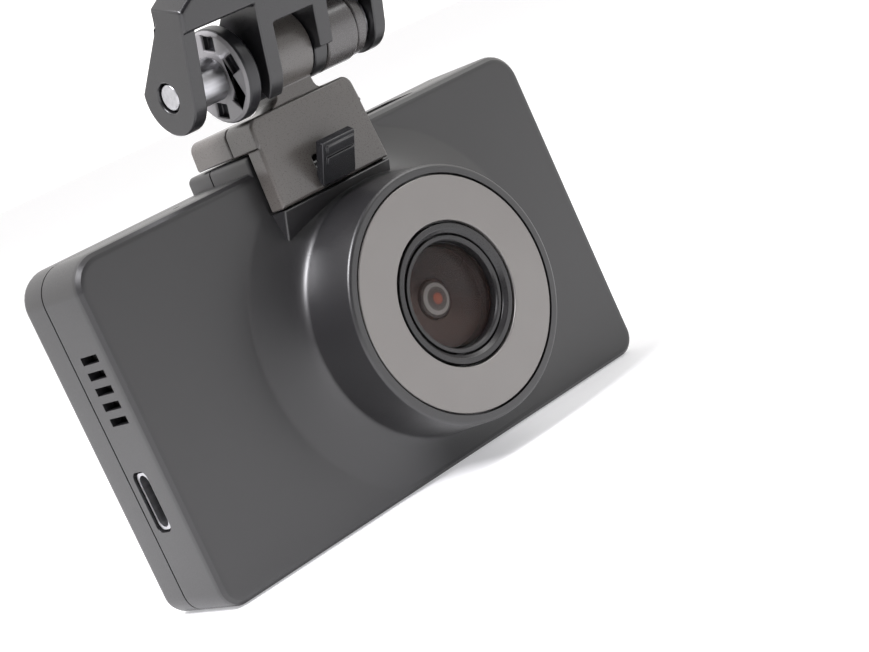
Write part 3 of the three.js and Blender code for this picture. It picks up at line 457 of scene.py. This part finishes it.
# The wedge under the cradle's plate, with its two side edges and its front edge rounded.
def padMesh():
    face, topZ = caseFront["faceY"], plateSizes["lowZ"] - plateSizes["gap"]
    plate, buried = face - plateSizes["proud"], face + caseFront["bury"]
    padFrom = plateSizes["padFrom"]
    profile = [(buried, padFrom), (face, padFrom), (plate, topZ), (buried, topZ)]
    mesh = prismMesh("pad", profile, -plateSizes["half"], plateSizes["half"], "yz")
    bm = bmesh.new()
    bm.from_mesh(mesh)
    farBack = (face + caseFront["bury"] / 2) * mm
    proud = [e for e in bm.edges if min(v.co.y for v in e.verts) < (face - 1) * mm
             and max(v.co.y for v in e.verts) < farBack]
    bmesh.ops.bevel(bm, geom=proud, offset=plateSizes["padEdge"] * mm, segments=3, profile=0.5,
                    affect="EDGES", material=-1)
    bm.to_mesh(mesh)
    bm.free()
    return mesh


def frontShell():
    face, ring = caseFront["faceY"], caseFront["ringY"]
    side, low, high = cutAhead["side"], cutAhead["low"], cutAhead["high"]
    ahead = prismMesh("ahead", [(-side, low), (side, low), (side, high), (-side, high)],
                      ring - cutAhead["reach"], face - cutAhead["clear"])
    mesh = combined(packedMesh("front_shell"), ("DIFFERENCE", ahead), ("UNION", barrelMesh()),
                    ("UNION", padMesh()))
    mesh.name = "frontShellBody"
    smooth = shaded(mesh, caseFront["sharpFrom"], caseFront["flatUnder"])
    piece = addPiece("frontShellBody", smooth, "front_shell")
    piece.modifiers.new("evenShading", "WEIGHTED_NORMAL").keep_sharp = True
    print("front shell:", len(mesh.polygons), "faces")


frontShell()


turnedFinish = {"sharpFrom": 25, "segments": 3}


# A turned piece of the lens group: corners are (radius, depth behind the barrel's rim).
def turnedPiece(nodeName, corners, bevel, material=None):
    ring = caseFront["ringY"]
    mesh = turnedMesh(nodeName + "Body", [(radius, ring + depth) for radius, depth in corners])
    piece = addPiece(nodeName + "Body", shaded(mesh, turnedFinish["sharpFrom"]), nodeName, material)
    if bevel:
        mod = piece.modifiers.new("softEdges", "BEVEL")
        mod.width = bevel * mm
        mod.segments = turnedFinish["segments"]
        mod.limit_method = "ANGLE"
        mod.angle_limit = math.radians(turnedFinish["sharpFrom"])
        mod.harden_normals = True


# Each ring's corners, and the width of its rounded edges.
lensRings = {
    "trim_ring": ([(11.15, 0.0), (18.1, 0.0), (18.1, 1.0), (11.15, 1.0)], 0.22),
    "lens_bezel": ([(10.7, 0.15), (10.7, 2.4), (9.25, 2.4), (9.25, 0.75), (9.85, 0.15)], 0.12),
    "retaining_ring": ([(8.15, 1.0), (8.4, 0.7), (8.95, 0.7), (8.95, 2.4), (8.15, 2.4)], 0.08),
}
for nodeName, (corners, bevel) in lensRings.items():
    turnedPiece(nodeName, corners, bevel)


# Depths of the front's middle and of the back, both behind the barrel's rim, and the dome's height.
lenses = {
    "front_lens": {"radius": 7.85, "front": 1.2, "dome": 0.7, "back": 3.9},
    "inner_lens": {"radius": 2.9, "front": 4.8, "dome": 0.6, "back": 7.0},
}


def lensPiece(nodeName, material=None, steps=12):
    sizes = lenses[nodeName]
    radius, dome, back = sizes["radius"], sizes["dome"], sizes["back"]
    sphere = (radius * radius + dome * dome) / (2 * dome)
    across = [radius * i / steps for i in range(steps + 1)]
    front = [(x, sizes["front"] + sphere - math.sqrt(sphere * sphere - x ** 2)) for x in across]
    turnedPiece(nodeName, [*front, (radius, back), (0, back)], 0, material)


lensPiece("front_lens")
lensPiece("inner_lens", innerGlassPaintedGlint)
print("lens group made")

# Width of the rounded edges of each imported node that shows, in millimetres.
edgeWidths = {
    "rear_shell": 0, "lens_tube": 0.1,
    "cradle_front": 0.2, "cradle_back": 0.2, "release_lever": 0.15, "arm": 0.25, "arm_cover": 0.2,
    "hinge_sleeve": 0.3, "hinge_washer": 0.3, "left_sleeve": 0.3, "hinge_bolt": 0.2, "thumbwheel": 0.15,
    "windscreen_base": 0, "adhesive_pad": 0.3, "power_button": 0.2, "menu_key": 0.2, "up_key": 0.2,
    "down_key": 0.2, "confirm_key": 0.2, "display_window": 0.15, "memory_card": 0.1, "spring_washer": 0.1,
    "wheel_spacer": 0.2, "swivel_washer": 0.1,
}
for nodeName, width in edgeWidths.items():
    dressed(nodeName, width)
dressed("light_baffle", 0.1, bafflePaintedLight)
print("dressed pieces:", len(edgeWidths) + 1)


# The room is bright all round except toward darkSide, and behind is what the camera itself sees.
room = {"darkSide": (-0.66, -0.74, 0.10), "fade": (0.0, 0.45), "bright": 1.3, "dark": 0.02,
        "behind": 1.6, "colour": (1.0, 0.985, 0.97)}
table = {"half": 6, "colour": (0.62, 0.62, 0.62), "rough": 0.7, "glow": (0.97, 0.97, 1.0), "glowPower": 0.42}


def studio():
    bm = bmesh.new()
    bmesh.ops.create_grid(bm, x_segments=1, y_segments=1, size=table["half"])
    mesh = bpy.data.meshes.new("tableTop")
    bm.to_mesh(mesh)
    bm.free()
    floor = bpy.data.objects.new("tableTop", mesh)
    bpy.context.collection.objects.link(floor)
    material, tree, shader = newMaterial("tablePaper")
    shader.inputs["Base Color"].default_value = (*table["colour"], 1)
    shader.inputs["Roughness"].default_value = table["rough"]
    shader.inputs["Emission Color"].default_value = (*table["glow"], 1)
    shader.inputs["Emission Strength"].default_value = table["glowPower"]
    mesh.materials.append(material)
    world = bpy.data.worlds.new("studioWorld")
    world.use_nodes = True
    tree = world.node_tree
    background = tree.nodes["Background"]
    background.inputs["Color"].default_value = (*room["colour"], 1)
    coords = addNode(tree, "ShaderNodeTexCoord")
    toward = addNode(tree, "ShaderNodeVectorMath", operation="DOT_PRODUCT")
    toward.inputs[1].default_value = room["darkSide"]
    tree.links.new(coords.outputs["Generated"], toward.inputs[0])
    light = spread(tree, toward.outputs["Value"], room["bright"], room["dark"], *room["fade"])
    rays = addNode(tree, "ShaderNodeLightPath")
    mixer = addNode(tree, "ShaderNodeMix", data_type="FLOAT")
    tree.links.new(rays.outputs["Is Camera Ray"], mixer.inputs["Factor"])
    tree.links.new(light, mixer.inputs["A"])
    mixer.inputs["B"].default_value = room["behind"]
    tree.links.new(mixer.outputs["Result"], background.inputs["Strength"])
    bpy.context.scene.world = world
    bpy.context.scene.view_settings.view_transform = "Standard"


def softLight(name, place, target, size, power, colour=(1, 1, 1)):
    data = bpy.data.lights.new(name, "AREA")
    data.shape = "RECTANGLE"
    data.size, data.size_y = size
    data.energy = power
    data.color = colour
    lamp = bpy.data.objects.new(name, data)
    bpy.context.collection.objects.link(lamp)
    lamp.location = Vector(place)
    lamp.rotation_mode = "QUATERNION"
    lamp.rotation_quaternion = (Vector(target) - Vector(place)).to_track_quat("-Z", "Y")


studio()
caseMiddle = (0, 0, 0.03)
softLight("leftSoftbox", (-0.55, -0.08, 0.75), caseMiddle, (0.35, 0.35), 15, (0.97, 0.96, 1.0))
softLight("topSoftbox", (0.60, -0.50, 0.80), caseMiddle, (0.6, 0.6), 4)
print("studio ready")

bpy.context.view_layer.update()
